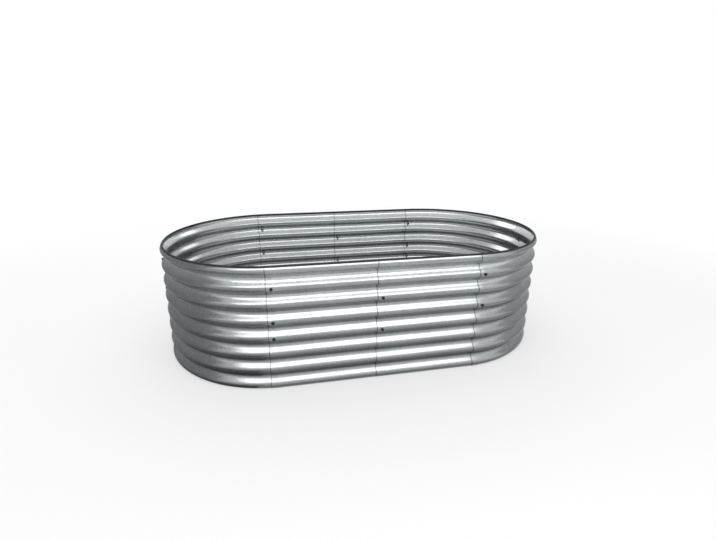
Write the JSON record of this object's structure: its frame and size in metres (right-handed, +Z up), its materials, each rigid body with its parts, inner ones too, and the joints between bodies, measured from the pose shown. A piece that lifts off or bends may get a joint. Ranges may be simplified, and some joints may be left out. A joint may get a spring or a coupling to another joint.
{
  "type": "raised garden bed",
  "caption": "Open-bottomed oval raised garden bed of corrugated galvanised sheet panels, lapped and bolted, with a rubber edging round the rim.",
  "frame": {"origin": "on the ground, at the middle of the bed's outer box", "axes": "+X along the bed, +Y to its back, +Z up"},
  "size_m": [1.4896, 0.8162, 0.4355],
  "materials": {
    "galvanised_sheet": "bare galvanised, fine dull spangle",
    "black_bolts": "black coated, satin",
    "zinc_nuts": "zinc plated, dull",
    "edging_rubber": "matt black"
  },
  "bodies": {
    "root": {"front_left_panel": "galvanised_sheet", "front_right_panel": "galvanised_sheet", "right_end_front_panel": "galvanised_sheet", "right_end_back_panel": "galvanised_sheet", "back_right_panel": "galvanised_sheet", "back_left_panel": "galvanised_sheet", "left_end_back_panel": "galvanised_sheet", "left_end_front_panel": "galvanised_sheet", "front_left_bolts": "black_bolts", "front_middle_bolts": "black_bolts", "front_right_bolts": "black_bolts", "right_end_bolts": "black_bolts", "back_right_bolts": "black_bolts", "back_middle_bolts": "black_bolts", "back_left_bolts": "black_bolts", "left_end_bolts": "black_bolts", "front_left_nuts": "zinc_nuts", "front_middle_nuts": "zinc_nuts", "front_right_nuts": "zinc_nuts", "right_end_nuts": "zinc_nuts", "back_right_nuts": "zinc_nuts", "back_middle_nuts": "zinc_nuts", "back_left_nuts": "zinc_nuts", "left_end_nuts": "zinc_nuts", "rim_edging": "edging_rubber"}
  },
  "joints": []
}
